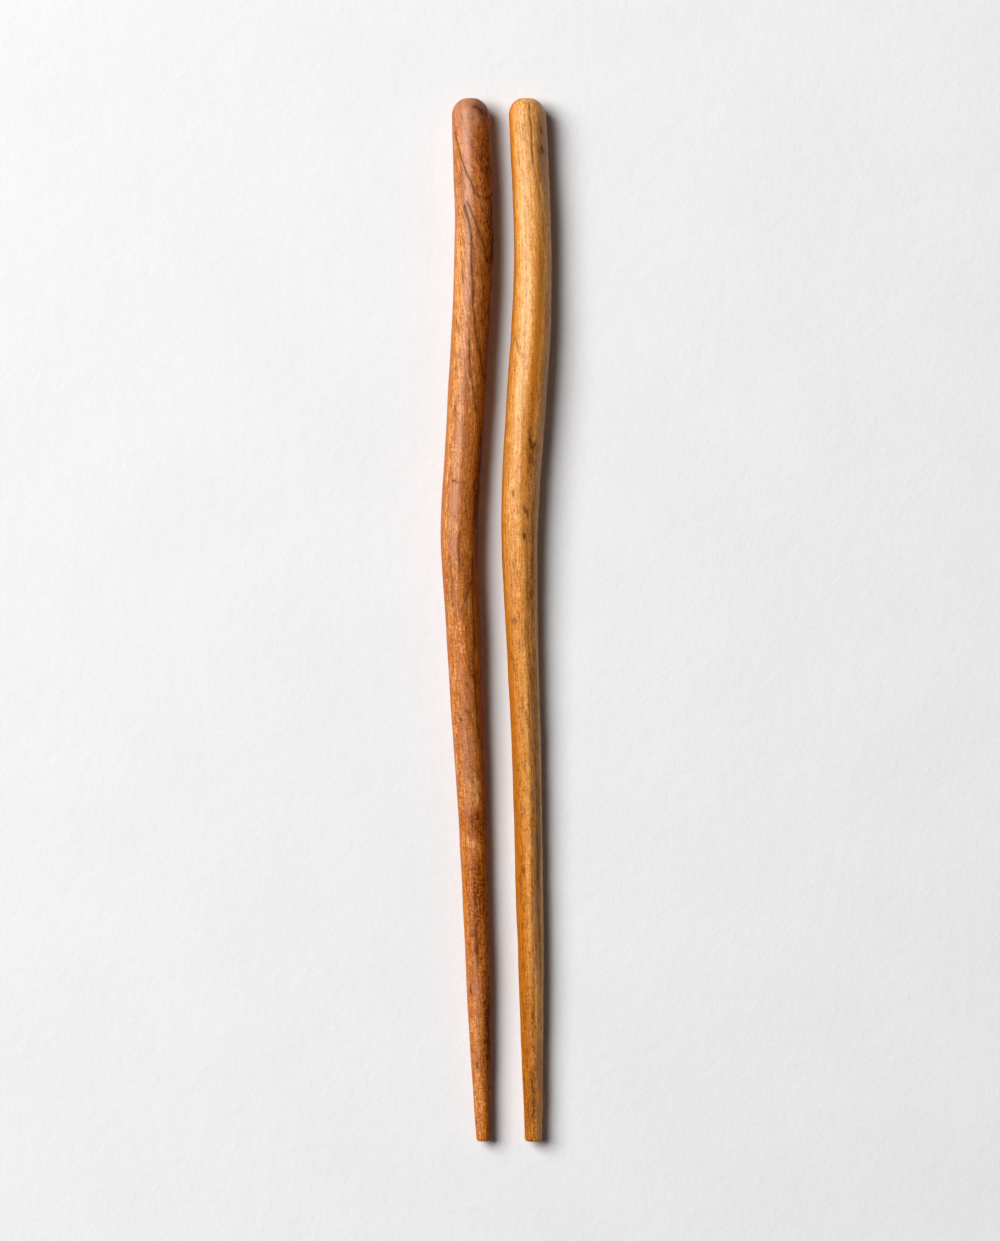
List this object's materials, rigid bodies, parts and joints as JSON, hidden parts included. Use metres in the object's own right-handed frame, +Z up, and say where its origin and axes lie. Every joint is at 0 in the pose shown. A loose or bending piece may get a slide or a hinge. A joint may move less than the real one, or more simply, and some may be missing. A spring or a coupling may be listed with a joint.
{
  "type": "pair of chopsticks",
  "caption": "Hand-carved wooden chopsticks lying side by side: slightly bent round-faceted sticks with domed thick ends, tapering to small blunt tips.",
  "frame": {"origin": "on the table, under the middle of the pair's box", "axes": "+Y towards the thick ends, +Z up from the table, +X towards the lighter stick"},
  "size_m": [0.0254, 0.24, 0.0091],
  "materials": {
    "dark_wood": "hand-scraped, lightly oiled, satin",
    "light_wood": "hand-scraped, lightly oiled, satin"
  },
  "bodies": {
    "root": {"dark_chopstick": "dark_wood", "light_chopstick": "light_wood"}
  },
  "joints": []
}
